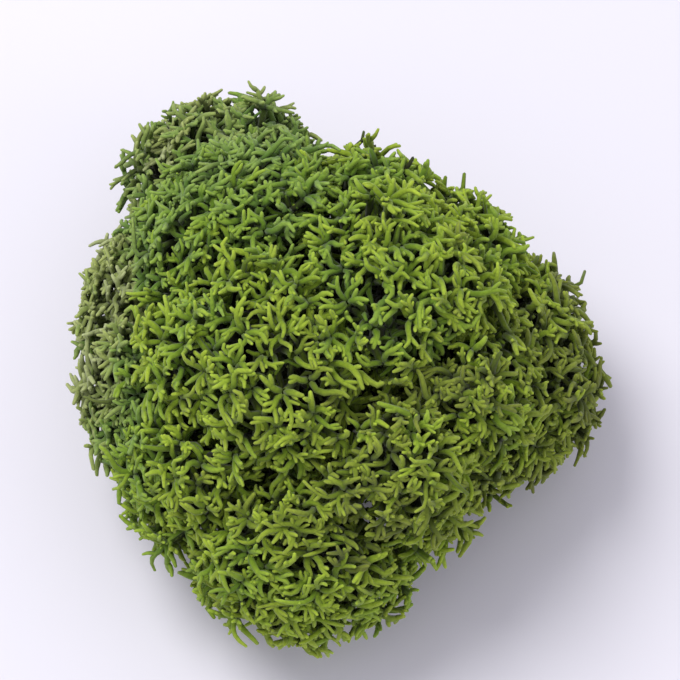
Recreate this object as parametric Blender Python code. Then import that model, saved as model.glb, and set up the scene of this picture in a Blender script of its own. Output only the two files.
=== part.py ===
"""A clump of reindeer moss, picked and laid on a flat surface: thirteen sprigs that grew side by side.

Each sprig is a small bush of its own. Its stalk was cut off flat at the ground and forks into three boughs,
and the boughs carry a rounded crown of fine twigs. The crowns press against each other and together make one
dome. A crown is modelled here as the solid that its twig tips reach; its flat sides are where it meets its
neighbours, and a crown at the rim is cut flat where it rests on the ground.

Run it with: blender --background --python part.py
Metres, +Z up, origin on the ground under the middle of the clump. -Y is the clump's front.
"""

import math

import bmesh
import bpy
from mathutils import Vector

MM = 0.001

# The dome that the crowns' tops lie on: half an ellipsoid, wide, deep and high.
DOME_WIDTH = 79 * MM
DOME_DEPTH = 88 * MM
DOME_HEIGHT = 49.5 * MM

CROWN_THICKNESS = 21 * MM  # from the top of a crown down to where its boughs come in
CROWN_LUMP = 0.05  # how far a crown's surface swells and dips, as a share of its radius
CROWN_GAP = 0.4 * MM  # between two crowns that press against each other
CROWN_DIVISIONS = 4  # how finely a crown's ball is divided before it is cut

STALK_FOOT_SHARE = 0.4  # how far out a stalk's foot stands, as a share of its crown's place
STALK_FOOT_RADIUS = 1.5 * MM
STALK_FORK_RADIUS = 1.1 * MM
STALK_FORK_SHARE = 0.62  # where along the stalk the last of the three boughs parts
STALK_SWAY = 1.6 * MM
BOUGHS = 3
BOUGH_TIP_RADIUS = 0.75 * MM
BOUGH_SPREAD = 4.2 * MM
BOUGH_START_SHARE = 0.8  # how thick a bough starts, as a share of the stalk at the fork
FIRST_BOUGH_SHARE = 0.6  # of the way to the fork; the next boughs start further on
BOUGH_STEP = 0.12
JOINT_GAP = 0.3 * MM  # between a bough's end and the crown that it carries
CUT_LENGTH = 3 * MM  # a stalk is made this much too long at the ground, then cut

# Each sprig: its name, where the top of its crown lies seen from above (x, y), how far that top stands out
# of the dome, and the crown's radius, all in mm; then the tone of its twigs.
SPRIGS = (
    ("back_left", -19.0, 33.0, 3.5, 15.0, "blue_green"),
    ("back", 4.5, 14.5, -3.0, 17.5, "yellow_green"),
    ("back_right", 19.5, 10.0, -3.0, 16.5, "yellow_green"),
    ("left", -30.0, 10.0, -1.5, 18.0, "frosty"),
    ("middle_left", -13.0, 11.0, 0.0, 21.5, "blue_green"),
    ("middle", 7.0, 0.0, 0.0, 22.0, "yellow_green"),
    ("right", 33.5, -1.5, 0.0, 18.5, "olive"),
    ("near_left", -29.0, -7.0, -1.5, 18.5, "frosty"),
    ("near_middle", -8.5, -9.0, 0.5, 22.0, "yellow_green"),
    ("near_right", 18.5, -11.0, -1.0, 19.5, "yellow_green"),
    ("front_left", -19.0, -23.5, -1.0, 18.5, "yellow_green"),
    ("front", -5.0, -36.0, 0.5, 18.0, "yellow_green"),
    ("front_right", 9.5, -23.5, -1.0, 18.5, "olive"),
)

TWIG_TONES = {
    "yellow_green": (0.181, 0.238, 0.040),
    "blue_green": (0.127, 0.181, 0.058),
    "frosty": (0.209, 0.242, 0.093),
    "olive": (0.098, 0.122, 0.030),
}
STALK_BROWN = (0.122, 0.107, 0.048)

UP = Vector((0.0, 0.0, 1.0))
GROUND = Vector((0.0, 0.0, 0.0))


def clear_scene():
    for obj in list(bpy.data.objects):
        bpy.data.objects.remove(obj, do_unlink=True)


def matte(name, colour):
    """A plain dry plant surface of one colour."""
    material = bpy.data.materials.new(name)
    material.use_nodes = True
    shader = material.node_tree.nodes["Principled BSDF"]
    shader.inputs["Base Color"].default_value = (*colour, 1.0)
    shader.inputs["Roughness"].default_value = 0.9
    shader.inputs["Metallic"].default_value = 0.0
    return material


def on_dome(x, y):
    """The point of the dome's surface above (x, y)."""
    share = (2 * x / DOME_WIDTH) ** 2 + (2 * y / DOME_DEPTH) ** 2
    return Vector((x, y, DOME_HEIGHT * math.sqrt(max(0.0, 1 - share))))


def part_way(start, end, share):
    return start + (end - start) * share


class Sprig:
    """Where one sprig's crown and stalk are, worked out from its row in SPRIGS."""

    def __init__(self, number, name, x, y, rise, radius, tone):
        self.number = number
        self.name = name
        self.tone = tone
        self.radius = radius * MM
        surface = on_dome(x * MM, y * MM)
        self.axis = surface.normalized()
        top = surface + self.axis * rise * MM
        self.centre = top - self.axis * self.radius
        self.underside = top - self.axis * CROWN_THICKNESS
        self.foot = Vector((top.x, top.y, 0.0)) * STALK_FOOT_SHARE


def lump(direction, number):
    """How much a crown swells in a direction: a few slow waves, other ones for each sprig."""
    x, y, z = direction
    turn = 1.7 * number
    waves = (
        math.sin(5.3 * x + turn) * math.cos(4.9 * y - 0.6 * turn)
        + 0.7 * math.sin(6.1 * z + 1.3 * turn) * math.cos(5.7 * x + turn)
        + 0.5 * math.sin(8.9 * y + 2.1 * turn) * math.cos(8.1 * z - turn)
    )
    return 1 + CROWN_LUMP * waves / 1.6


def cut_away(mesh, point, outward):
    """Cuts off what lies past a plane, and closes the cut with a flat face."""
    everything = mesh.verts[:] + mesh.edges[:] + mesh.faces[:]
    bmesh.ops.bisect_plane(
        mesh,
        geom=everything,
        dist=1e-7,
        plane_co=point,
        plane_no=outward,
        clear_outer=True,
    )
    rim = [edge for edge in mesh.edges if edge.is_boundary]
    if rim:
        bmesh.ops.holes_fill(mesh, edges=rim, sides=0)


def finish_mesh(mesh, name, place, material):
    """Turns a bmesh into mesh data around its place, faces outwards, smooth but for the edges of its cuts."""
    bmesh.ops.remove_doubles(mesh, verts=mesh.verts[:], dist=5e-6)
    bmesh.ops.recalc_face_normals(mesh, faces=mesh.faces[:])
    bmesh.ops.translate(mesh, verts=mesh.verts[:], vec=-place)
    data = bpy.data.meshes.new(name)
    mesh.to_mesh(data)
    mesh.free()
    data.materials.append(material)
    data.shade_smooth()
    data.set_sharp_from_angle(angle=math.radians(35))
    return data


def stand_in(name, data, place, parent, collection):
    """Stands a finished mesh at its place, carried by the parent."""
    obj = bpy.data.objects.new(name, data)
    collection.objects.link(obj)
    obj.parent = parent
    obj.location = place
    return obj


def make_crown(sprig, sprigs, material, clump, collection):
    """A lumpy ball, cut flat where it meets each neighbour, under the twigs, and at the ground."""
    mesh = bmesh.new()
    bmesh.ops.create_icosphere(mesh, subdivisions=CROWN_DIVISIONS, radius=1.0)
    for vertex in mesh.verts:
        direction = vertex.co.normalized()
        vertex.co = sprig.centre + direction * (sprig.radius * lump(direction, sprig.number))
    for other in sprigs:
        if other is sprig:
            continue
        apart = other.centre - sprig.centre
        distance = apart.length
        # Two balls of unlike size meet nearer the smaller one.
        to_meeting = (distance**2 + sprig.radius**2 - other.radius**2) / (2 * distance)
        outward = apart / distance
        cut_away(mesh, sprig.centre + outward * (to_meeting - CROWN_GAP / 2), outward)
    cut_away(mesh, sprig.underside, -sprig.axis)
    cut_away(mesh, GROUND, -UP)
    name = "crown_" + sprig.name
    data = finish_mesh(mesh, name, sprig.centre, material)
    return stand_in(name, data, sprig.centre, clump, collection)


def make_tube(name, points, radii, tools):
    """A round branch through the points, as a closed mesh with its ends filled."""
    curve = bpy.data.curves.new(name, "CURVE")
    curve.dimensions = "3D"
    curve.bevel_depth = 1.0
    curve.bevel_resolution = 1
    curve.use_fill_caps = True
    spline = curve.splines.new("POLY")
    spline.points.add(len(points) - 1)
    for point, place, radius in zip(spline.points, points, radii, strict=True):
        point.co = (*place, 1.0)
        point.radius = radius
    drawn = bpy.data.objects.new(name + "_curve", curve)
    tools.objects.link(drawn)
    graph = bpy.context.evaluated_depsgraph_get()
    data = bpy.data.meshes.new_from_object(drawn.evaluated_get(graph))
    bpy.data.objects.remove(drawn, do_unlink=True)
    mesh = bmesh.new()
    mesh.from_mesh(data)
    bmesh.ops.remove_doubles(mesh, verts=mesh.verts[:], dist=1e-6)
    bmesh.ops.recalc_face_normals(mesh, faces=mesh.faces[:])
    mesh.to_mesh(data)
    mesh.free()
    tube = bpy.data.objects.new(name, data)
    tools.objects.link(tube)
    tube.hide_render = True
    tube.display_type = "WIRE"
    return tube


def make_stalk(sprig, material, clump, collection, tools):
    """A tapering stalk from the ground to its fork, joined with three boughs that reach the crown."""
    foot, top = sprig.foot, sprig.underside
    fork = part_way(foot, top, STALK_FORK_SHARE)
    side = sprig.axis.cross(UP).normalized()
    sway = side * STALK_SWAY * math.sin(2.4 * sprig.number)
    middle_radius = (STALK_FOOT_RADIUS + STALK_FORK_RADIUS) / 2
    name = "stalk_" + sprig.name
    trunk = make_tube(
        name + "_trunk",
        [foot - UP * CUT_LENGTH, foot + sway * 0.1, part_way(foot, fork, 0.5) + sway, fork],
        [STALK_FOOT_RADIUS, STALK_FOOT_RADIUS, middle_radius, STALK_FORK_RADIUS],
        tools,
    )
    around = sprig.axis.to_track_quat("Z", "Y").to_matrix()
    for bough in range(BOUGHS):
        begin = part_way(foot, fork, FIRST_BOUGH_SHARE + BOUGH_STEP * bough) + sway * 0.2
        turn = 2 * math.pi * bough / BOUGHS + 0.9 * sprig.number
        spread = around @ Vector((math.cos(turn), math.sin(turn), 0.0)) * BOUGH_SPREAD
        end = top + spread + sprig.axis * MM
        limb = make_tube(
            f"{name}_bough_{bough}",
            [begin, part_way(begin, end, 0.55) + spread * 0.18, end],
            [STALK_FORK_RADIUS * BOUGH_START_SHARE, (STALK_FORK_RADIUS + BOUGH_TIP_RADIUS) / 2, BOUGH_TIP_RADIUS],
            tools,
        )
        join = trunk.modifiers.new(f"bough_{bough}", "BOOLEAN")
        join.operation = "UNION"
        join.solver = "EXACT"
        join.object = limb
    graph = bpy.context.evaluated_depsgraph_get()
    mesh = bmesh.new()
    mesh.from_mesh(bpy.data.meshes.new_from_object(trunk.evaluated_get(graph)))
    cut_away(mesh, GROUND, -UP)
    cut_away(mesh, top - sprig.axis * JOINT_GAP, sprig.axis)
    data = finish_mesh(mesh, name, foot, material)
    return stand_in(name, data, foot, clump, collection)


def remove_tools(tools):
    for obj in list(tools.objects):
        bpy.data.objects.remove(obj, do_unlink=True)
    bpy.data.collections.remove(tools)


def centre_over_origin(clump, pieces):
    """Moves the clump so that the origin lies under the middle of its box."""
    corners = [piece.location + vertex.co for piece in pieces for vertex in piece.data.vertices]
    for axis in range(2):
        along = [corner[axis] for corner in corners]
        clump.location[axis] = -(min(along) + max(along)) / 2


def main():
    clear_scene()
    collection = bpy.data.collections.new("moss_clump")
    tools = bpy.data.collections.new("tools")
    bpy.context.scene.collection.children.link(collection)
    bpy.context.scene.collection.children.link(tools)
    clump = bpy.data.objects.new("clump", None)
    collection.objects.link(clump)
    twigs = {tone: matte("twigs_" + tone, colour) for tone, colour in TWIG_TONES.items()}
    stalks = matte("stalks", STALK_BROWN)
    sprigs = [Sprig(number, *row) for number, row in enumerate(SPRIGS, start=1)]
    pieces = []
    for sprig in sprigs:
        pieces.append(make_crown(sprig, sprigs, twigs[sprig.tone], clump, collection))
        pieces.append(make_stalk(sprig, stalks, clump, collection, tools))
    remove_tools(tools)
    centre_over_origin(clump, pieces)


main()
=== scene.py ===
"""A picked clump of preserved reindeer moss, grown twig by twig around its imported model.

Each crown of the model is the solid that its twig tips reach. Here it becomes the bush itself: from the three
boughs of its stalk the twigs fork again and again towards the crown's surface, and end in whorls, small stars
of curved branchlets around an open axil.
"""

import math

import bpy
import numpy as np
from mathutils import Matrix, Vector


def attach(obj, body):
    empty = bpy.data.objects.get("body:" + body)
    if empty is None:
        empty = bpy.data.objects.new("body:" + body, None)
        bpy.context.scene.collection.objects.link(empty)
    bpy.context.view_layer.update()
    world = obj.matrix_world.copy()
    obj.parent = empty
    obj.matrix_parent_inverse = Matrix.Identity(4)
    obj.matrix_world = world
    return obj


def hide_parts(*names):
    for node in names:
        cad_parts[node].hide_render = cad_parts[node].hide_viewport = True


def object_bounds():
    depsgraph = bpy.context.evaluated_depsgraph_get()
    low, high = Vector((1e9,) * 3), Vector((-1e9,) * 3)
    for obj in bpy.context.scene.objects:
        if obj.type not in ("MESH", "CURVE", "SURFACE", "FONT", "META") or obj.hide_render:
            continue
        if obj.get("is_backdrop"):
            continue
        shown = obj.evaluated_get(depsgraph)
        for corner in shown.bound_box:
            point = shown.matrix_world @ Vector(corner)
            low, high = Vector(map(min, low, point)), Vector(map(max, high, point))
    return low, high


bl_info = {
    "name": "Reindeer moss clump",
    "version": (1, 0, 0),
    "blender": (4, 5, 0),
    "location": "View3D > Sidebar > Moss",
    "description": "Grows the twigs of a clump of reindeer moss and sets it on a studio floor",
    "category": "Object",
}

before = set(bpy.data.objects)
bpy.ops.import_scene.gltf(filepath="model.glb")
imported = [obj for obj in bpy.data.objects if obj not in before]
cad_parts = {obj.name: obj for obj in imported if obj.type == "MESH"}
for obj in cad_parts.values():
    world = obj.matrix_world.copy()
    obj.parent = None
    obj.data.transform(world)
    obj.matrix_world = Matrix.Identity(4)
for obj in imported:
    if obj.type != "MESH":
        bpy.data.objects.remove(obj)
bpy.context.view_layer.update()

MM = 0.001
UV_MAP = "OFBake"  # across: the twig's tone; up: its age, from the oldest wood to the newest tip, and with it painted shade, darker deeper in the clump

# Each crown: the name of its colour, and where its own tone lies across the UV map.
CROWNS = {
    "back_left": ("blue_green", 0.27),
    "back": ("yellow_green", 0.56),
    "back_right": ("yellow_green", 0.6),
    "left": ("frosty", 0.12),
    "middle_left": ("blue_green", 0.4),
    "middle": ("yellow_green", 0.56),
    # The right crown's tone lies towards the darkest olive: partly its own olive, partly painted shade on the
    # clump's right side.
    "right": ("olive", 0.84),
    "near_left": ("frosty", 0.16),
    "near_middle": ("yellow_green", 0.62),
    "near_right": ("yellow_green", 0.72),
    "front_left": ("yellow_green", 0.6),
    "front": ("yellow_green", 0.62),
    # Front right's tone leans to olive: partly its own tone, partly painted shade low on the clump's right
    # side.
    "front_right": ("olive", 0.72),
}

# Where each of the dye's colours lies across the UV map.
TONES = {
    "palest": 0.06,
    "frosty": 0.2,
    "blue_green": 0.36,
    "leaf_green": 0.5,
    "yellow_green": 0.64,
    "olive": 0.78,
    "darkest": 0.92,
}
SLIVER = 0.012  # the width of one tube across the UV map
SKIN_POINTS = 2600  # how many points stand for the skin of one crown

# How densely whorls stand on the skin: in a crease, and what the open adds to that; then the shares that are
# lost on the crown's underside and where the skin faces the ground.
CREASE_SHARE, CREASE_GAIN = 0.55, 0.45
UNDERSIDE_LOSS = 0.72
LOW_LOSS = 0.35
CREASE_REACH = (1.0 * MM, 4.0 * MM)  # nearer to a neighbour than the first is a crease, past the second open
CELL_AREA = 0.866  # of one cell in an even triangular spread, where the spacing is 1

# The ages of twigs at their start and at their end: 0 is the oldest wood, 1 the newest tip. Lower ages are
# drawn darker, so twigs deep in the clump and under the crowns get low ones as painted shade as well as for
# age.
OUTER_AGE_AND_SHADE = (0.58, 1.0)
STEM_AGE_AND_SHADE = (0.34, 0.56)
FORK_AGE_AND_SHADE_STEP = 0.14
SIDE_TWIG_AGE_AND_SHADE = (0.06, 0.22)
SIDE_WHORL_AGE_AND_SHADE = (0.22, 0.44)

# Each layer of whorls that stopped short under the outer ones: its share of them, its least and most depth
# below them in millimetres, its branchlets' ages and the sides of their tubes. The deeper layer takes lower
# ages, so it is drawn darker: partly older growth, partly painted shade deep in the clump.
UNDER_LAYERS = (
    (0.8, (2.8, 4.2), (0.42, 0.74), 4),
    (0.5, (5.6, 8.0), (0.26, 0.5), 3),
)

# Each level of forks, from the whorls down: how many twigs meet in one and how far it lies inwards. The lower
# levels also have the radius of the twigs that rise from them.
FIRST_FORKS = (3.4, 2.6 * MM)
LOWER_FORKS = ((3.8, 3.4 * MM, 0.46 * MM), (4.0, 4.2 * MM, 0.58 * MM))
BOUGH_RADII = (0.7 * MM, 0.6 * MM)
BOUGH_OVERLAP = 0.3 * MM  # how far the lowest twigs start inside the bough

# A branchlet's bend and end, as shares of its length: outwards from its whorl, and up the whorl's axis.
BEND_OUT, BEND_UP = 0.45, 0.4
END_OUT, END_UP = 0.86, 0.42
# How many branchlets are long, how much longer they are and how much lower they lie.
LONG_SHARE, LONG_STRETCH, LONG_DROP = 0.26, 1.55, 0.12
OUTER_BRANCHLETS = (4, 5, 5, 6)  # one of these numbers in each outer whorl
UNDER_BRANCHLETS = (4,)
SIDE_BRANCHLETS = (3,)
PRONG_SHARE = 0.6  # of the outer branchlets, on either side

ARCH_RISE = 0.16  # how far a twig's bend is raised, as a share of its length
ARCH_WANDER = 0.07  # how far it strays to one side, as a share of its length
TONE_BLEND = 7.0 * MM  # how far one crown's tone spreads into its neighbours

SIDE_TWIG_LENGTHS = (3.5, 9.0)  # in millimetres
SIDE_TWIG_FLOOR = 5 * MM  # none starts nearer the ground
GROUND_GAP = 0.02 * MM  # between the ground and what lies on it

# The lights' places from the clump's middle and the widths of their discs, and the floor's disc.
KEY_PLACE, KEY_WIDTH = Vector((-0.32, 0.2, 0.7)), 0.45
FILL_PLACE, FILL_WIDTH = Vector((0.6, -0.35, 0.35)), 0.5
FLOOR_RADIUS = 3.0
FLOOR_CORNERS = 96
FLOOR_DROP = 0.1 * MM  # the stalks' cut feet stand this much over it


# ---------------------------------------------------------------- shapes in numpy


def unit(vectors):
    """Each vector divided by its length."""
    return vectors / np.maximum(np.linalg.norm(vectors, axis=-1, keepdims=True), 1e-12)


def square_to(vectors):
    """Each unit vector turned square: its cross product with up, or with x where it is steep."""
    helper = np.where(np.abs(vectors[:, 2:]) < 0.8, [[0.0, 0.0, 1.0]], [[1.0, 0.0, 0.0]])
    return unit(np.cross(vectors, helper))


def smooth_step(values, low, high):
    """0 below low, 1 above high, and 3t^2 - 2t^3 between them, where t is the share of the way."""
    share = np.clip((values - low) / (high - low), 0.0, 1.0)
    return share * share * (3.0 - 2.0 * share)


def triangles_of(node):
    """The corners of each triangle of a CAD node, as an array of n by 3 by 3."""
    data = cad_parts[node].data
    data.calc_loop_triangles()
    points = np.empty(len(data.vertices) * 3)
    data.vertices.foreach_get("co", points)
    corners = np.empty(len(data.loop_triangles) * 3, np.int32)
    data.loop_triangles.foreach_get("vertices", corners)
    return points.reshape(-1, 3)[corners.reshape(-1, 3)]


def areas_and_normals(triangles):
    """Half the cross product of two sides has the triangle's area for its length and points outwards."""
    cross = np.cross(triangles[:, 1] - triangles[:, 0], triangles[:, 2] - triangles[:, 0])
    return np.linalg.norm(cross, axis=1) / 2, unit(cross)


def scatter(triangles, count, rng):
    """Random points, even over the area of the triangles, and the normal at each.

    A triangle is picked in proportion to its area. In it the point is (1 - s) A + s (1 - r) B + s r C, where
    s is the square root of one random number and r is another.
    """
    areas, normals = areas_and_normals(triangles)
    pick = rng.choice(len(areas), count, p=areas / areas.sum())
    side = np.sqrt(rng.random(count))[:, None]
    along = rng.random(count)[:, None]
    a, b, c = triangles[pick].transpose(1, 0, 2)
    return (1 - side) * a + side * (1 - along) * b + side * along * c, normals[pick]


def squared_distances(points, others):
    """The squared distance from every point to every other: |p|^2 + |q|^2 - 2 p.q, never below zero."""
    both = (points**2).sum(1)[:, None] + (others**2).sum(1)[None, :]
    return np.maximum(both - 2 * points @ others.T, 0.0)


def nearest_of(points, centres):
    """The number of the centre that lies nearest to each point."""
    return squared_distances(points, centres).argmin(1)


def spread_centres(points, weights, count, rng, rounds=8):
    """Centres spread evenly through a cloud, and the number of the one nearest to each point.

    Each centre moves to the weighted mean of the points nearest to it, several times over.
    """
    centres = points[rng.choice(len(points), count, replace=False, p=weights / weights.sum())]
    for _ in range(rounds):
        nearest = nearest_of(points, centres)
        centres = means_by_group(points, weights, nearest, centres)
    return centres, nearest_of(points, centres)


def means_by_group(values, weights, group, otherwise):
    """The weighted mean of the values in each group; an empty group keeps what it had."""
    count = len(otherwise)
    total = np.bincount(group, weights, count)
    sums = np.stack([np.bincount(group, weights * column, count) for column in values.T], 1)
    return np.where(total[:, None] > 0, sums / np.maximum(total, 1e-12)[:, None], otherwise)


def slow_waves(points, length, rng, waves=7):
    """A soft noise, mostly between -1 and 1: sine waves in random directions, added up and divided by the
    square root of their number.
    """
    directions = unit(rng.normal(size=(waves, 3))) * (2 * math.pi / length)
    phases = rng.uniform(0, 2 * math.pi, waves)
    return np.sin(points @ directions.T + phases).sum(1) / math.sqrt(waves)


def wobble(rng, spread, shape):
    """Random numbers round zero in the shape of a bell, none further out than 1.7 times the spread."""
    return np.clip(rng.normal(0, spread, shape), -1.7 * spread, 1.7 * spread)


def bent_paths(starts, bends, ends, rings):
    """Points along parabolas: (1 - t)^2 start + 2 t (1 - t) bend + t^2 end, with t in even steps."""
    t = np.linspace(0.0, 1.0, rings)[None, :, None]
    return (1 - t) ** 2 * starts[:, None] + 2 * t * (1 - t) * bends[:, None] + t**2 * ends[:, None]


def tube_faces(sides, rings):
    """One tube's faces by corner number: quads from ring to ring, the fan at its end and its flat start."""
    step = np.arange(sides)
    after = (step + 1) % sides
    ring = np.arange(rings - 1)[:, None] * sides
    quads = np.stack([ring + step, ring + after, ring + sides + after, ring + sides + step], 2)
    last = (rings - 1) * sides
    fan = np.stack([last + step, last + after, np.full(sides, rings * sides)], 1)
    return quads.reshape(-1, 4), fan, step[::-1][None]


def tube_places(sides, rings, tones, age_and_shade_range):
    """The UV of the same faces, for many tubes.

    Across the map a tube takes a sliver at its own tone. Up the map it goes from the start of its range to
    the
    end: low is old wood and painted shade deep in the clump, high the newest tips.
    """
    step = np.arange(sides)
    age_and_shade = age_and_shade_range[:, :1] + (age_and_shade_range[:, 1:] - age_and_shade_range[:, :1]) * np.linspace(0.0, 1.0, rings)
    left, right = step / sides * SLIVER, (step + 1) / sides * SLIVER
    low, high = age_and_shade[:, :-1, None] + 0 * left, age_and_shade[:, 1:, None] + 0 * left
    across = tones[:, None, None] + 0 * low
    quads = np.stack(
        [
            np.stack([across + left, low], 3),
            np.stack([across + right, low], 3),
            np.stack([across + right, high], 3),
            np.stack([across + left, high], 3),
        ],
        3,
    )
    tone, end_age_and_shade = tones[:, None] + 0 * left, age_and_shade[:, -1:] + 0 * left
    fan = np.stack(
        [
            np.stack([tone + left, end_age_and_shade - 0.01], 2),
            np.stack([tone + right, end_age_and_shade - 0.01], 2),
            np.stack([tone + SLIVER / 2, end_age_and_shade], 2),
        ],
        2,
    )
    turn = 2 * math.pi * step[::-1] / sides
    start_tone = tones[:, None] + SLIVER / 2 * (1 + np.cos(turn))
    start_age_and_shade = age_and_shade[:, :1] + 0.008 * (1 + np.sin(turn))
    return quads, fan, np.stack([start_tone, start_age_and_shade], 2)


class Mesh:
    """Gathers closed tubes as arrays, and puts them into one Blender mesh at the end."""

    def __init__(self):
        self.points, self.corners, self.sizes, self.places = [], [], [], []
        self.count = 0

    def add(self, corners, places):
        """Faces that all have the same number of corners: corners is faces by corners, places is their UV."""
        self.corners.append(corners.ravel())
        self.sizes.append(np.full(len(corners), corners.shape[1]))
        self.places.append(places.reshape(-1, 2))

    def tubes(self, paths, radii, sides, tones, age_and_shade_range, tip_rise):
        """Closed tubes along paths.

        Around each point of a path stands a ring: centre + radius (cos a N + sin a B), with N and B at right
        angles to the path and to each other. The fan at the end meets in a point that stands tip_rise radii
        past it, or is sunk into it if that is negative.
        """
        count, rings = paths.shape[:2]
        if not count:
            return
        paths = paths.copy()
        # What would reach into the ground lies on it.
        paths[:, :, 2] = np.maximum(paths[:, :, 2], radii + GROUND_GAP)
        along = unit(np.gradient(paths, axis=1))
        reference = square_to(unit(paths[:, -1] - paths[:, 0]))[:, None]
        normal = unit(reference - (reference * along).sum(2, keepdims=True) * along)
        other = np.cross(along, normal)
        angle = np.arange(sides) * 2 * math.pi / sides
        cos, sin = np.cos(angle)[None, None, :, None], np.sin(angle)[None, None, :, None]
        around = cos * normal[:, :, None] + sin * other[:, :, None]
        ring_points = paths[:, :, None] + radii[:, :, None, None] * around
        poles = paths[:, -1] + along[:, -1] * (tip_rise * radii[:, -1:])
        points = np.concatenate([ring_points.reshape(count, -1, 3), poles[:, None]], 1)
        self.points.append(points.reshape(-1, 3))
        each = points.shape[1]
        first = self.count + np.arange(count)[:, None, None] * each
        self.count += count * each
        for faces, places in zip(tube_faces(sides, rings), tube_places(sides, rings, tones, age_and_shade_range)):
            self.add((first + faces[None]).reshape(-1, faces.shape[1]), places)

    def finish(self, name, material):
        """One mesh object at the origin, with smooth faces and its UV map."""
        points = np.concatenate(self.points)
        corners = np.concatenate(self.corners).astype(np.int32)
        sizes = np.concatenate(self.sizes)
        places = np.clip(np.concatenate(self.places), 0.001, 0.999)
        data = bpy.data.meshes.new(name)
        data.vertices.add(len(points))
        data.vertices.foreach_set("co", points.astype(np.float32).ravel())
        data.loops.add(len(corners))
        data.loops.foreach_set("vertex_index", corners)
        data.polygons.add(len(sizes))
        data.polygons.foreach_set("loop_start", (np.cumsum(sizes) - sizes).astype(np.int32))
        data.polygons.foreach_set("use_smooth", np.ones(len(sizes), bool))
        data.uv_layers.new(name=UV_MAP).data.foreach_set("uv", places.astype(np.float32).ravel())
        data.update(calc_edges=True)
        data.materials.append(material)
        piece = bpy.data.objects.new(name, data)
        bpy.context.scene.collection.objects.link(piece)
        return piece


# ---------------------------------------------------------------- the crown and its twigs


class Crown:
    """What the CAD says about one crown: its skin, its boughs' ends and which way it grows."""

    def __init__(self, name, rng):
        self.name = name
        triangles = triangles_of("crown_" + name)
        self.skin, self.skin_normals = scatter(triangles, SKIN_POINTS, rng)
        self.area = areas_and_normals(triangles)[0].sum()
        self.middle = self.skin.mean(0)
        self.boughs, self.axis = self.bough_ends()
        self.heart = self.boughs.mean(0)

    def holds(self, points):
        """Whether each point is inside the crown: behind the skin, at the point of the skin nearest to it.

        Near a sharp edge of the skin a point just outside may count as inside.
        """
        nearest = nearest_of(points, self.skin)
        return ((self.skin[nearest] - points) * self.skin_normals[nearest]).sum(1) > 0

    def bough_ends(self):
        """The middles of the three cut faces at the top of the stalk, and the direction that they face.

        The cut faces are the stalk's triangles that face the crown's middle and lie furthest along.
        """
        triangles = triangles_of("stalk_" + self.name)
        areas, normals = areas_and_normals(triangles)
        centres = triangles.mean(1)
        foot = centres[centres[:, 2] < 0.05 * MM].mean(0)
        axis = unit(self.middle - foot)
        for _ in range(3):
            reach = centres @ axis
            cut = (reach > reach.max() - 1.2 * MM) & (normals @ axis > 0.9) & (areas > 0)
            axis = unit((normals[cut] * areas[cut, None]).sum(0))
        ends = centres[cut]
        # One end from each bough: start from the two that lie furthest apart, then the one far from both.
        apart = squared_distances(ends, ends)
        one, two = np.unravel_index(apart.argmax(), apart.shape)
        three = np.minimum(apart[one], apart[two]).argmax()
        seeds = ends[[one, two, three]]
        return means_by_group(ends, areas[cut], nearest_of(ends, seeds), seeds), axis


def openness(crown, others):
    """How far the crown's skin stands from its neighbours' at each point: 0 in a crease, 1 in the open."""
    nearest = squared_distances(crown.skin, others).min(1) ** 0.5
    return smooth_step(nearest, *CREASE_REACH)


def forks(children, heart, cluster, inward, rng):
    """The forks one step nearer the stalk, and the number of the one that each child joins.

    There is one for each few children (cluster). From the middle of its children it lies about inward towards
    the heart, but at most 0.6 of the way there, and a little aside at random.
    """
    count = max(3, round(len(children) / cluster))
    weights = np.ones(len(children))
    centres, group = spread_centres(children, weights, count, rng)
    to_heart = heart - centres
    distance = np.linalg.norm(to_heart, axis=1, keepdims=True)
    step = np.minimum(inward * rng.uniform(0.85, 1.15, (count, 1)), 0.6 * distance)
    nodes = centres + unit(to_heart) * step + rng.normal(0, 0.12 * inward, (count, 3))
    return nodes, group


def arching(starts, ends, lift, rng):
    """The bend of each twig: half way along, raised towards lift and pushed a little aside at random."""
    length = np.linalg.norm(ends - starts, axis=1, keepdims=True)
    middle = (starts + ends) / 2
    return middle + lift * length * ARCH_RISE + rng.normal(0, ARCH_WANDER, middle.shape) * length


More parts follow.
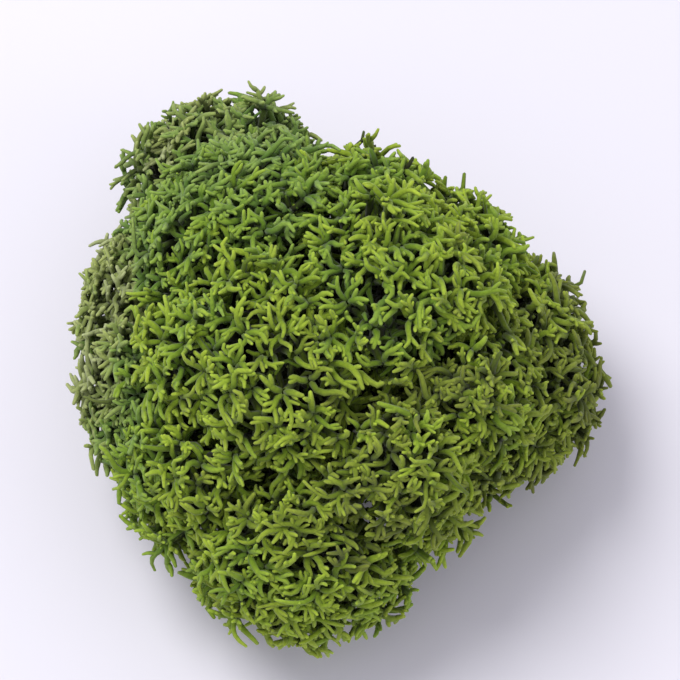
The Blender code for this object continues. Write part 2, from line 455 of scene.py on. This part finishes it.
def grow_whorls(
    mesh, centres, axes, tones, size, branchlets, holes, age_and_shade_range, settings, rng, prongs, sides=4, rings=4
):
    """A star of curved branchlets round each centre.

    Branchlet j leaves its whorl at the angle 2 pi j / n round the axis. It climbs first and then arches over:
    its bend lies at BEND_OUT of its length outwards and BEND_UP of it up, its end at END_OUT and END_UP. It
    swerves to one side by a random share, and a whole sine wave along it makes it wind. About one in four is
    long and lies flat over its neighbours. None ends in a hole.
    """
    count = len(centres)
    first = square_to(axes)
    second = np.cross(axes, first)
    most = max(branchlets)
    number = rng.choice(branchlets, count)
    slot = np.arange(most)[None, :]
    keep = (slot < number[:, None]).ravel()
    angle = 2 * math.pi * slot / number[:, None] + rng.uniform(0, 2 * math.pi, (count, 1))
    angle = (angle + rng.normal(0, 0.25, (count, most))).ravel()[keep][:, None]
    whorl = np.repeat(np.arange(count), most)[keep]
    total = len(whorl)
    outward = np.cos(angle) * first[whorl] + np.sin(angle) * second[whorl]
    axis = axes[whorl]
    sideways = np.cross(axis, outward)
    long = rng.random((total, 1)) < LONG_SHARE
    length = size[whorl][:, None] * rng.uniform(0.72, 1.2, (total, 1)) * np.where(long, LONG_STRETCH, 1.0)
    swerve = wobble(rng, 0.3, (total, 1)) * sideways
    rise = wobble(rng, 0.12, (total, 1)) - np.where(long, LONG_DROP, 0.0)
    starts = centres[whorl] + outward * settings.axil_radius
    bends = starts + length * (BEND_OUT * outward + (BEND_UP + rise) * axis - 0.5 * swerve)
    ends = starts + length * (END_OUT * outward + (END_UP + 1.3 * rise) * axis + swerve)
    if len(holes):
        reach = settings.hole_radius * rng.uniform(0.8, 1.2, total)
        end_clear = squared_distances(ends, holes).min(1) > reach**2
        clear = end_clear & (squared_distances(bends, holes).min(1) > reach**2)
        whorl, sideways, axis, length = whorl[clear], sideways[clear], axis[clear], length[clear]
        starts, bends, ends = starts[clear], bends[clear], ends[clear]
        total = len(whorl)
    thick = settings.branchlet_radius * rng.uniform(0.82, 1.16, (total, 1))
    taper = 1.0 - 0.46 * np.linspace(0, 1, rings) ** 3
    radii = thick * taper * rng.uniform(0.9, 1.1, (total, rings))
    tone = tones[whorl] + rng.normal(0, 0.03, total)
    # Each branchlet's range up the UV map, which is its age and its painted depth shade.
    tube_age_and_shade = np.stack([np.full(total, age_and_shade_range[0]), rng.uniform(age_and_shade_range[1] - 0.14, age_and_shade_range[1], total)], 1)
    winding = (wobble(rng, 0.08, (total, 1)) * length * sideways)[:, None]
    paths = bent_paths(starts, bends, ends, rings)
    paths = paths + winding * np.sin(2 * math.pi * np.linspace(0, 1, rings))[None, :, None]
    mesh.tubes(paths, radii, sides, tone, tube_age_and_shade, 0.8)
    if prongs:
        grow_prongs(mesh, paths, sideways, axis, length, thick, tone, tube_age_and_shade, prongs, settings, rng)


def grow_prongs(mesh, paths, sideways, axis, length, thick, tone, tube_age_and_shade, prongs, settings, rng):
    """Prongs that leave branchlets on one side and on the other, and turn along them.

    A prong's bend lies at 0.5 of its reach aside and 0.3 of it ahead, its end at 0.74 aside, 0.7 ahead and a
    little up. It leaves the third or the fourth ring of its branchlet, and less often the second.
    """
    total = len(paths)
    for hand, ring, share in ((-1.0, 2, prongs), (1.0, 3, prongs), (1.0, 1, prongs * 0.4)):
        chosen = rng.random(total) < share
        some = chosen.sum()
        at = paths[chosen, ring]
        ahead = unit(paths[chosen, ring + 1] - paths[chosen, ring - 1])
        aside = sideways[chosen] * hand
        longest = 1.2 * settings.branchlet_length
        reach = np.minimum(length[chosen], longest) * rng.uniform(0.3, 0.55, (some, 1))
        up = axis[chosen] * rng.normal(0.2, 0.16, (some, 1))
        bend = at + reach * (0.5 * aside + 0.3 * ahead)
        end = at + reach * (0.74 * aside + 0.7 * ahead + up)
        radii = thick[chosen] * np.array([[0.84, 0.8, 0.7, 0.5]])
        prong_age_and_shade = np.stack([tube_age_and_shade[chosen, 0] + 0.14, np.minimum(tube_age_and_shade[chosen, 1] + 0.05, 1.0)], 1)
        mesh.tubes(bent_paths(at, bend, end, 4), radii, 4, tone[chosen], prong_age_and_shade, 0.8)


def grow_links(
    mesh, starts, ends, axes, start_radius, end_radius, tones, age_and_shade_range, flare, rng, sides=4, rings=4
):
    """Twigs that join fork to fork, or a fork to a whorl, thinner towards the tip and arching outwards.

    A flare widens the last of the twig, by the sixth power of the share of the way, into an open axil.
    """
    bends = arching(starts, ends, axes, rng)
    share = np.linspace(0.0, 1.0, rings)[None, :]
    radii = start_radius + (end_radius - start_radius) * share + flare * share**6
    radii = radii * rng.uniform(0.9, 1.1, (len(starts), rings))
    # Each twig's range up the UV map: its age, and the painted shade of its depth in the clump.
    tube_age_and_shade = np.tile(np.array([age_and_shade_range]), (len(starts), 1)) + rng.normal(0, 0.02, (len(starts), 1))
    tip_rise = -1.6 if flare else 0.4
    mesh.tubes(bent_paths(starts, bends, ends, rings), radii, sides, tones, tube_age_and_shade, tip_rise)


def tone_at(points, crowns, seed):
    """The tone of a twig at each point: the neighbouring crowns' tones mixed by nearness, and slow waves."""
    middles = np.array([crown.middle for crown in crowns])
    tones = np.array([CROWNS[crown.name][1] for crown in crowns])
    near = np.exp(-squared_distances(points, middles) / (2 * TONE_BLEND**2))
    mixed = (near * tones).sum(1) / np.maximum(near.sum(1), 1e-9)
    rng = np.random.default_rng(seed)
    return mixed + 0.06 * slow_waves(points, 16 * MM, rng) + 0.05 * slow_waves(points, 6 * MM, rng)


def outer_whorls(crown, crowns, settings, rng):
    """The whorls over a crown's skin: their places, the ways that they face and their branchlets' lengths.

    They stand closest in the open, and further apart in the creases, low down and on the crown's underside.
    They sit in small heads, each a shallow dome: a whorl is lower by the head's sag times the square of its
    distance from the head's middle over half of the head's width.
    """
    others = np.concatenate([other.skin for other in crowns if other is not crown])
    open_share = openness(crown, others)
    underside = smooth_step(-(crown.skin_normals @ crown.axis), 0.35, 0.8)
    low = smooth_step(-crown.skin_normals[:, 2], -0.35, 0.6)
    density = CREASE_SHARE + CREASE_GAIN * open_share
    density = density * (1 - UNDERSIDE_LOSS * underside) * (1 - LOW_LOSS * low)
    patch = crown.area / len(crown.skin)
    count = round((density * patch).sum() / (CELL_AREA * settings.whorl_spacing**2))

    centres, group = spread_centres(crown.skin, density, count, rng)
    ones = np.ones(len(crown.skin))
    normals = unit(means_by_group(crown.skin_normals, ones, group, np.tile(crown.axis, (count, 1))))
    openings = means_by_group(open_share[:, None], ones, group, np.zeros((count, 1)))[:, 0]
    out = unit(0.6 * normals + 0.4 * unit(centres - crown.heart))

    head_count = max(4, round(crown.area / settings.head_area))
    heads, head = spread_centres(centres, np.ones(count), head_count, rng)
    from_head = np.linalg.norm(centres - heads[head], axis=1)
    sag = settings.head_sag * np.clip(from_head / (0.5 * math.sqrt(settings.head_area)), 0, 1.3) ** 2
    depth = settings.tip_reach + sag + rng.normal(0.0, 0.45, count) * MM
    # A few have grown past their neighbours.
    ahead = rng.random(count) < settings.leader_share
    depth = depth - np.where(ahead, rng.uniform(0.5, 1.5, count) * MM, 0.0)
    size = settings.branchlet_length * (0.82 + 0.18 * openings)
    return centres - out * depth[:, None], out, size


def under_layers(whorls, out, rng):
    """The sparser layers of whorls that stopped short: for each, their places and the ways that they face."""
    count = len(whorls)
    layers = []
    for share, (least, most), _, _ in UNDER_LAYERS:
        some = rng.random(count) < share
        sunk = whorls - out * rng.uniform(least, most, (count, 1)) * MM
        sunk = sunk + rng.normal(0, 1.0, (count, 3)) * MM
        layers.append((sunk[some], unit(out + rng.normal(0, 0.35, (count, 3)))[some]))
    return layers


def grow_crown(crown, crowns, settings, material, rng):
    """The whole bush of one crown: whorls over its skin, sparser ones under them, and forks to its boughs."""
    whorls, out, size = outer_whorls(crown, crowns, settings, rng)
    layers = [(whorls, out), *under_layers(whorls, out, rng)]
    tops = np.concatenate([places for places, _ in layers])
    axes = np.concatenate([ways for _, ways in layers])
    tones = tone_at(tops, crowns, settings.seed) + rng.normal(0, 0.03, len(tops))
    ends = np.cumsum([len(places) for places, _ in layers])
    hole_count = max(3, round(crown.area / settings.hole_spacing**2))
    holes = spread_centres(crown.skin, np.ones(len(crown.skin)), hole_count, rng, rounds=2)[0]

    mesh = Mesh()
    outer = slice(0, ends[0])
    grow_whorls(
        mesh, tops[outer], axes[outer], tones[outer], size, OUTER_BRANCHLETS, holes, OUTER_AGE_AND_SHADE,
        settings, rng, PRONG_SHARE, sides=5, rings=6,
    )
    # The layers under the outer whorls take lower ages, so they are drawn darker: older growth, and painted
    # shade deep in the clump.
    for start, end, (_, _, age_and_shade_range, sides) in zip(ends[:-1], ends[1:], UNDER_LAYERS):
        layer = slice(start, end)
        sizes = np.full(end - start, settings.branchlet_length)
        grow_whorls(
            mesh, tops[layer], axes[layer], tones[layer], sizes, UNDER_BRANCHLETS, (), age_and_shade_range,
            settings, rng, 0.0, sides=sides, rings=5,
        )
    grow_forks(mesh, crown, crowns, tops, axes, tones, settings, rng)
    grow_side_twigs(mesh, crown, crowns, settings, rng)
    return mesh.finish("twigs_" + crown.name, material)


def grow_forks(mesh, crown, crowns, tops, axes, tones, settings, rng):
    """The twigs that carry the whorls: from the boughs up through the levels of forks to each whorl."""
    nodes, group = forks(tops, crown.heart, *FIRST_FORKS, rng)
    stem, base = settings.branchlet_radius * 1.05, settings.branchlet_radius * 1.25
    flare = settings.branchlet_radius * 0.5
    grow_links(mesh, nodes[group], tops, axes, base, stem, tones, STEM_AGE_AND_SHADE, flare, rng)
    # Each level of forks further down takes lower ages and is drawn darker: older wood, and painted shade
    # deeper in the bush.
    age_and_shade = STEM_AGE_AND_SHADE[0]
    for cluster, inward, radius in LOWER_FORKS:
        lower, group = forks(nodes, crown.heart, cluster, inward, rng)
        grow_links(
            mesh, lower[group], nodes, unit(nodes - crown.heart), radius * 1.1, radius * 0.9,
            tone_at(nodes, crowns, settings.seed), (age_and_shade - FORK_AGE_AND_SHADE_STEP, age_and_shade), 0.0, rng, sides=5,
        )
        nodes = lower
        age_and_shade -= FORK_AGE_AND_SHADE_STEP
    feet = crown.boughs[nearest_of(nodes, crown.boughs)] - crown.axis * BOUGH_OVERLAP
    grow_links(
        mesh, feet, nodes, np.tile(crown.axis, (len(nodes), 1)), *BOUGH_RADII,
        tone_at(nodes, crowns, settings.seed), (0.0, age_and_shade), 0.0, rng, sides=6,
    )


def grow_side_twigs(mesh, crown, crowns, settings, rng):
    """Old twigs all round the stalk, short and arching, each with a small whorl at its end."""
    points, normals = scatter(triangles_of("stalk_" + crown.name), settings.side_twigs, rng)
    directions = unit(normals + 0.75 * crown.axis + rng.normal(0, 0.35, normals.shape))
    ends = points + directions * rng.uniform(*SIDE_TWIG_LENGTHS, (len(points), 1)) * MM
    # None starts near the ground, and none ends in another sprig's crown.
    free = points[:, 2] > SIDE_TWIG_FLOOR
    for other in crowns:
        if other is not crown:
            free &= ~other.holds(ends)
    points, directions, ends = points[free], directions[free], ends[free]
    tones = tone_at(ends, crowns, settings.seed)
    thick = settings.branchlet_radius
    grow_links(mesh, points, ends, directions, thick * 0.9, thick * 0.75, tones, SIDE_TWIG_AGE_AND_SHADE, 0.0, rng)
    sizes = np.full(len(ends), 0.85 * settings.branchlet_length)
    grow_whorls(
        mesh, ends, directions, tones, sizes, SIDE_BRANCHLETS, (), SIDE_WHORL_AGE_AND_SHADE, settings, rng, 0.0
    )


# ---------------------------------------------------------------- materials


def linear(hex_colour):
    """An sRGB colour such as "7f9150", made linear, with alpha 1."""
    parts = [int(hex_colour[i : i + 2], 16) / 255 for i in (0, 2, 4)]
    return tuple(p / 12.92 if p <= 0.04045 else ((p + 0.055) / 1.055) ** 2.4 for p in parts) + (1.0,)


def node(tree, kind, links=None, **settings):
    """Adds a node, sets its properties and unlinked inputs, and links the sockets named in links."""
    made = tree.nodes.new(kind)
    for name, value in settings.items():
        if hasattr(made, name):
            setattr(made, name, value)
        else:
            made.inputs[name.replace("_", " ")].default_value = value
    for name, socket in (links or {}).items():
        tree.links.new(socket, made.inputs[name])
    return made


def set_ramp(ramp_node, stops):
    """Puts the stops, a list of (place, linear colour), into a Color Ramp node."""
    stripe = ramp_node.color_ramp
    while len(stripe.elements) > 1:
        stripe.elements.remove(stripe.elements[0])
    first, *rest = [(place, (*colour[:3], 1.0)) for place, colour in stops]
    stripe.elements[0].position, stripe.elements[0].color = first
    for place, colour in rest:
        stripe.elements.new(place).color = colour


# A Mix node's sockets for colours, which share their names with its sockets for numbers and vectors.
MIX_A, MIX_B, MIX_RESULT = 6, 7, 2


def preserved_lichen(dye):
    """Preserved, dyed lichen: a matt, faintly felted skin, brightest at its young tips.

    It gives the eye a dry, powdery strand whose dye took best on the new growth: pale yellow-green tips, a
    deeper green below them, and dark olive brown in the old wood where the dye never reached. The darkening
    towards the old wood is also painted shade: twigs deeper in the clump sit lower on the UV map and are
    drawn darker.
    """
    material = bpy.data.materials.new("preserved_lichen")
    material.use_nodes = True
    tree = material.node_tree
    shader = tree.nodes["Principled BSDF"]
    shader.inputs["Roughness"].default_value = 0.88
    shader.inputs["IOR"].default_value = 1.45
    shader.inputs["Specular IOR Level"].default_value = 0.18
    shader.inputs["Sheen Weight"].default_value = 0.12
    shader.inputs["Sheen Roughness"].default_value = 0.6
    place = node(tree, "ShaderNodeUVMap", uv_map=UV_MAP)
    parts = node(tree, "ShaderNodeSeparateXYZ", {"Vector": place.outputs["UV"]})
    tone, age_and_shade = parts.outputs["X"], parts.outputs["Y"]
    # The dye's colours along the tones, at the tips and in the green below, and the old wood's along the
    # ages, where low ages are painted shade deep in the clump as well as old wood.
    tips = node(tree, "ShaderNodeValToRGB", {"Fac": tone})
    set_ramp(tips, [(at, getattr(dye, "tips_" + name)) for name, at in TONES.items()])
    green = node(tree, "ShaderNodeValToRGB", {"Fac": tone})
    set_ramp(green, [(at, getattr(dye, "green_" + name)) for name, at in TONES.items()])
    wood = node(tree, "ShaderNodeValToRGB", {"Fac": age_and_shade})
    # The old wood's colours up the ages, browner at the boughs and darkest between 0.2 and 0.36, where the
    # deep forks, deepest whorls and side twigs lie: partly the wood's own dark, partly painted shade.
    old_wood_and_depth_shade = ((0.0, "4a3d28"), (0.2, "302b17"), (0.36, "2b2f12"), (0.5, "384415"))
    set_ramp(wood, [(at, linear(hex_colour)) for at, hex_colour in old_wood_and_depth_shade])
    # Wood turns to green, and green to the tips' colour, so the colour brightens from the dark of old wood
    # and painted shade deep in the clump out to the tips.
    young = node(
        tree, "ShaderNodeMapRange", {"Value": age_and_shade},
        From_Min=0.34, From_Max=0.66, interpolation_type="SMOOTHSTEP",
    )
    newest = node(tree, "ShaderNodeMapRange", {"Value": age_and_shade}, From_Min=0.66, From_Max=0.98)
    body = node(tree, "ShaderNodeMix", {"Factor": young.outputs["Result"]}, data_type="RGBA")
    tree.links.new(wood.outputs["Color"], body.inputs[MIX_A])
    tree.links.new(green.outputs["Color"], body.inputs[MIX_B])
    tipped = node(tree, "ShaderNodeMix", {"Factor": newest.outputs["Result"]}, data_type="RGBA")
    tree.links.new(body.outputs[MIX_RESULT], tipped.inputs[MIX_A])
    tree.links.new(tips.outputs["Color"], tipped.inputs[MIX_B])
    # The grain of the felted skin, drawn at 0.5 mm: the real one is finer, too fine to show.
    where = node(tree, "ShaderNodeTexCoord")
    grain = node(
        tree, "ShaderNodeTexNoise", {"Vector": where.outputs["Object"]},
        Scale=1 / (0.5 * MM), Detail=3.0, Roughness=0.6,
    )
    shade = node(
        tree, "ShaderNodeMapRange", {"Value": grain.outputs["Fac"]},
        From_Min=0.3, From_Max=0.7, To_Min=0.8, To_Max=1.18,
    )
    mottled = node(tree, "ShaderNodeMix", data_type="RGBA", blend_type="MULTIPLY")
    mottled.inputs["Factor"].default_value = 1.0
    tree.links.new(tipped.outputs[MIX_RESULT], mottled.inputs[MIX_A])
    tree.links.new(shade.outputs["Result"], mottled.inputs[MIX_B])
    tree.links.new(mottled.outputs[MIX_RESULT], shader.inputs["Base Color"])
    bump = node(tree, "ShaderNodeBump", {"Height": grain.outputs["Fac"]}, Strength=0.35, Distance=0.12 * MM)
    tree.links.new(bump.outputs["Normal"], shader.inputs["Normal"])
    return material


def old_stalk():
    """The old wood of the lichen: dull grey-brown and felted, with darker flecks where the skin has worn off.

    It gives the eye a dry, soft, uneven surface without any shine.
    """
    material = bpy.data.materials.new("old_lichen_stalk")
    material.use_nodes = True
    tree = material.node_tree
    shader = tree.nodes["Principled BSDF"]
    shader.inputs["Roughness"].default_value = 0.92
    shader.inputs["Specular IOR Level"].default_value = 0.15
    where = node(tree, "ShaderNodeTexCoord")
    # Flecks about 1.5 mm long; the felt's own threads are too fine to show.
    flecks = node(
        tree, "ShaderNodeTexNoise", {"Vector": where.outputs["Object"]},
        Scale=1 / (1.5 * MM), Detail=4.0, Roughness=0.65,
    )
    colours = node(tree, "ShaderNodeValToRGB", {"Fac": flecks.outputs["Fac"]})
    stops = ((0.3, "2c2415"), (0.5, "4b4128"), (0.7, "6c6140"))
    set_ramp(colours, [(at, linear(hex_colour)) for at, hex_colour in stops])
    tree.links.new(colours.outputs["Color"], shader.inputs["Base Color"])
    bump = node(tree, "ShaderNodeBump", {"Height": flecks.outputs["Fac"]}, Strength=0.6, Distance=0.25 * MM)
    tree.links.new(bump.outputs["Normal"], shader.inputs["Normal"])
    return material


def studio_floor(colour):
    """Matt white laminate: it gives the eye a plain pale surface, faintly cool, on which the shadow reads."""
    material = bpy.data.materials.new("matt_white_laminate")
    material.use_nodes = True
    shader = material.node_tree.nodes["Principled BSDF"]
    shader.inputs["Base Color"].default_value = (*colour, 1.0)
    shader.inputs["Roughness"].default_value = 0.7
    return material


# ---------------------------------------------------------------- settings and operators


def colour(name, description, hex_colour):
    """A colour that a user can change; its default is an sRGB colour."""
    return bpy.props.FloatVectorProperty(
        name=name, description=description, default=linear(hex_colour)[:3], min=0.0, max=1.0, subtype="COLOR",
    )


class MossSettings(bpy.types.PropertyGroup):
    """The sizes of the twigs."""

    whorl_spacing: bpy.props.FloatProperty(
        name="Whorl spacing", description="From one whorl to the next over an open crown",
        default=3.7 * MM, min=1 * MM, max=10 * MM, unit="LENGTH",
    )
    branchlet_length: bpy.props.FloatProperty(
        name="Branchlet length", description="From a whorl's axil to a tip",
        default=3.2 * MM, min=0.5 * MM, max=8 * MM, unit="LENGTH",
    )
    branchlet_radius: bpy.props.FloatProperty(
        name="Branchlet radius", description="Where a branchlet leaves its whorl",
        default=0.43 * MM, min=0.05 * MM, max=2 * MM, unit="LENGTH",
    )
    axil_radius: bpy.props.FloatProperty(
        name="Axil radius", description="From the middle of a whorl to where its branchlets start",
        default=0.36 * MM, min=0.0, max=2 * MM, unit="LENGTH",
    )
    tip_reach: bpy.props.FloatProperty(
        name="Tip reach", description="How far a whorl's tips stand above its axil",
        default=1.5 * MM, min=0.0, max=5 * MM, unit="LENGTH",
    )
    head_area: bpy.props.FloatProperty(
        name="Head area", description="The crown's surface that one small head covers",
        default=80 * MM * MM, min=1e-6, max=1e-3, unit="AREA",
    )
    head_sag: bpy.props.FloatProperty(
        name="Head sag", description="How much lower a head's edge lies than its top",
        default=1.1 * MM, min=0.0, max=5 * MM, unit="LENGTH",
    )
    hole_spacing: bpy.props.FloatProperty(
        name="Hole spacing", description="From one open hole between the twigs to the next",
        default=5.6 * MM, min=1 * MM, max=30 * MM, unit="LENGTH",
    )
    hole_radius: bpy.props.FloatProperty(
        name="Hole radius", description="How far round a hole no branchlet ends",
        default=1.25 * MM, min=0.0, max=5 * MM, unit="LENGTH",
    )
    leader_share: bpy.props.FloatProperty(
        name="Leaders", description="The share of whorls that stand out past their neighbours",
        default=0.05, min=0.0, max=1.0, subtype="FACTOR",
    )
    side_twigs: bpy.props.IntProperty(
        name="Side twigs", description="How many old twigs a stalk can carry at most", default=70, min=0
    )
    seed: bpy.props.IntProperty(
        name="Seed", description="Picks another clump of the same kind", default=11, min=0
    )


class DyeSettings(bpy.types.PropertyGroup):
    """The dye's colours at the newest tips, and in the green below them."""

    tips_palest: colour("Palest tips", "The tips of the frostiest twigs", "adb680")
    tips_frosty: colour("Frosty tips", "The tips of the frosty sprigs", "9fab5f")
    tips_blue_green: colour("Blue-green tips", "The tips of the blue-green sprigs", "86a14c")
    tips_leaf_green: colour("Leaf green tips", "Tips between blue-green and yellow-green", "8aa636")
    tips_yellow_green: colour("Yellow-green tips", "The tips of the yellow-green sprigs", "a0b636")
    tips_olive: colour("Olive tips", "The tips of the olive sprigs", "8b9935")
    tips_darkest: colour("Darkest tips", "The tips of the most olive twigs", "6f782c")
    green_palest: colour("Palest green", "Below the palest tips", "737d48")
    green_frosty: colour("Frosty green", "Below the frosty tips", "667334")
    green_blue_green: colour("Blue-green", "Below the blue-green tips", "51702a")
    green_leaf_green: colour("Leaf green", "Below the leaf green tips", "587618")
    green_yellow_green: colour("Yellow-green", "Below the yellow-green tips", "6a8215")
    green_olive: colour("Olive", "Below the olive tips", "57671a")
    green_darkest: colour("Darkest green", "Below the darkest tips", "404a1a")


class StageSettings(bpy.types.PropertyGroup):
    """The floor, the camera and the lights."""

    floor_colour: colour("Floor", "The laminate's colour", "dedce3")
    elevation: bpy.props.FloatProperty(
        name="Elevation", description="The camera's angle above the horizon",
        default=math.radians(66), subtype="ANGLE",
    )
    distance: bpy.props.FloatProperty(
        name="Distance", description="From the camera to the middle of the clump",
        default=0.46, min=0.1, unit="LENGTH",
    )
    lens: bpy.props.FloatProperty(
        name="Lens", description="Focal length", default=180.0, min=10.0, unit="CAMERA"
    )
    key_power: bpy.props.FloatProperty(
        name="Key light", description="The large light above", default=4.6, min=0.0, unit="POWER"
    )
    fill_power: bpy.props.FloatProperty(
        name="Fill light", description="The light from the right", default=0.7, min=0.0, unit="POWER"
    )
    sky_colour: colour("Sky", "The light from all round", "f1effa")
    sky_strength: bpy.props.FloatProperty(
        name="Sky strength", description="How strong the light from all round is", default=0.78, min=0.0
    )


class MOSS_OT_grow_twigs(bpy.types.Operator):
    """Grows the bush of twigs of every crown, in place of the crown's solid."""

    bl_idname = "moss.grow_twigs"
    bl_label = "Grow the crowns' twigs"

    def execute(self, context):
        settings = context.scene.moss_settings
        material = preserved_lichen(context.scene.moss_dye)
        crowns = [
            Crown(name, np.random.default_rng([settings.seed, number])) for number, name in enumerate(CROWNS)
        ]
        for number, crown in enumerate(crowns):
            rng = np.random.default_rng([settings.seed, 100 + number])
            piece = grow_crown(crown, crowns, settings, material, rng)
            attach(piece, "root")
            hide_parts("crown_" + crown.name)
        return {"FINISHED"}


class MOSS_OT_finish_stalks(bpy.types.Operator):
    """Gives the stalks of the model their finish."""

    bl_idname = "moss.finish_stalks"
    bl_label = "Finish the stalks"

    def execute(self, context):
        material = old_stalk()
        for name in CROWNS:
            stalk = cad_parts["stalk_" + name]
            for slot in stalk.material_slots:
                slot.material = material
        return {"FINISHED"}


class MOSS_OT_set_stage(bpy.types.Operator):
    """Sets the floor, the soft lights and the camera."""

    bl_idname = "moss.set_stage"
    bl_label = "Set the stage"

    def execute(self, context):
        stage = context.scene.moss_stage
        low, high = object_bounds()
        middle = (low + high) / 2
        self.lay_floor(stage.floor_colour)
        self.hang_light("key", middle + KEY_PLACE, middle, KEY_WIDTH, stage.key_power)
        self.hang_light("fill", middle + FILL_PLACE, middle, FILL_WIDTH, stage.fill_power)
        world = bpy.data.worlds.new("studio")
        world.use_nodes = True
        background = world.node_tree.nodes["Background"]
        background.inputs["Color"].default_value = (*stage.sky_colour, 1.0)
        background.inputs["Strength"].default_value = stage.sky_strength
        context.scene.world = world
        context.scene.view_settings.view_transform = "Standard"
        back = Vector((0.0, -math.cos(stage.elevation), math.sin(stage.elevation)))
        camera = bpy.data.objects.new("camera", bpy.data.cameras.new("camera"))
        context.scene.collection.objects.link(camera)
        camera.data.lens = stage.lens
        camera.location = middle + back * stage.distance
        camera.rotation_euler = back.to_track_quat("Z", "Y").to_euler()
        context.scene.camera = camera
        return {"FINISHED"}

    def lay_floor(self, colour):
        """A wide flat disc: a ring of points at one radius, closed by one face."""
        turn = np.linspace(0, 2 * math.pi, FLOOR_CORNERS, endpoint=False)
        height = np.full(FLOOR_CORNERS, -FLOOR_DROP)
        rim = np.stack([FLOOR_RADIUS * np.cos(turn), FLOOR_RADIUS * np.sin(turn), height], 1)
        data = bpy.data.meshes.new("floor")
        data.from_pydata(rim.tolist(), [], [list(range(FLOOR_CORNERS))])
        data.materials.append(studio_floor(colour))
        floor = bpy.data.objects.new("floor", data)
        bpy.context.scene.collection.objects.link(floor)
        floor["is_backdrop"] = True

    def hang_light(self, name, place, target, width, power):
        """A round soft light at a place, turned to the target."""
        lamp = bpy.data.lights.new(name, "AREA")
        lamp.shape = "DISK"
        lamp.size = width
        lamp.energy = power
        light = bpy.data.objects.new(name, lamp)
        bpy.context.scene.collection.objects.link(light)
        light.location = place
        light.rotation_euler = (place - target).to_track_quat("Z", "Y").to_euler()


class MOSS_PT_panel(bpy.types.Panel):
    """Lists the clump's settings and its steps."""

    bl_label = "Reindeer moss"
    bl_space_type = "VIEW_3D"
    bl_region_type = "UI"
    bl_category = "Moss"

    def draw(self, context):
        for group in (context.scene.moss_settings, context.scene.moss_dye, context.scene.moss_stage):
            for name in group.__annotations__:
                self.layout.prop(group, name)
        for operator in OPERATORS:
            self.layout.operator(operator.bl_idname)


OPERATORS = (MOSS_OT_grow_twigs, MOSS_OT_finish_stalks, MOSS_OT_set_stage)
CLASSES = (MossSettings, DyeSettings, StageSettings, *OPERATORS, MOSS_PT_panel)


def register():
    """Registers the classes, and gives the scene its three groups of settings."""
    for cls in CLASSES:
        bpy.utils.register_class(cls)
    bpy.types.Scene.moss_settings = bpy.props.PointerProperty(type=MossSettings)
    bpy.types.Scene.moss_dye = bpy.props.PointerProperty(type=DyeSettings)
    bpy.types.Scene.moss_stage = bpy.props.PointerProperty(type=StageSettings)


def unregister():
    """Takes the settings and the classes away again."""
    del bpy.types.Scene.moss_stage
    del bpy.types.Scene.moss_dye
    del bpy.types.Scene.moss_settings
    for cls in reversed(CLASSES):
        bpy.utils.unregister_class(cls)


def main():
    """Registers the add-on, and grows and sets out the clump."""
    register()
    bpy.ops.moss.grow_twigs()
    bpy.ops.moss.finish_stalks()
    bpy.ops.moss.set_stage()


if __name__ == "__main__":
    main()
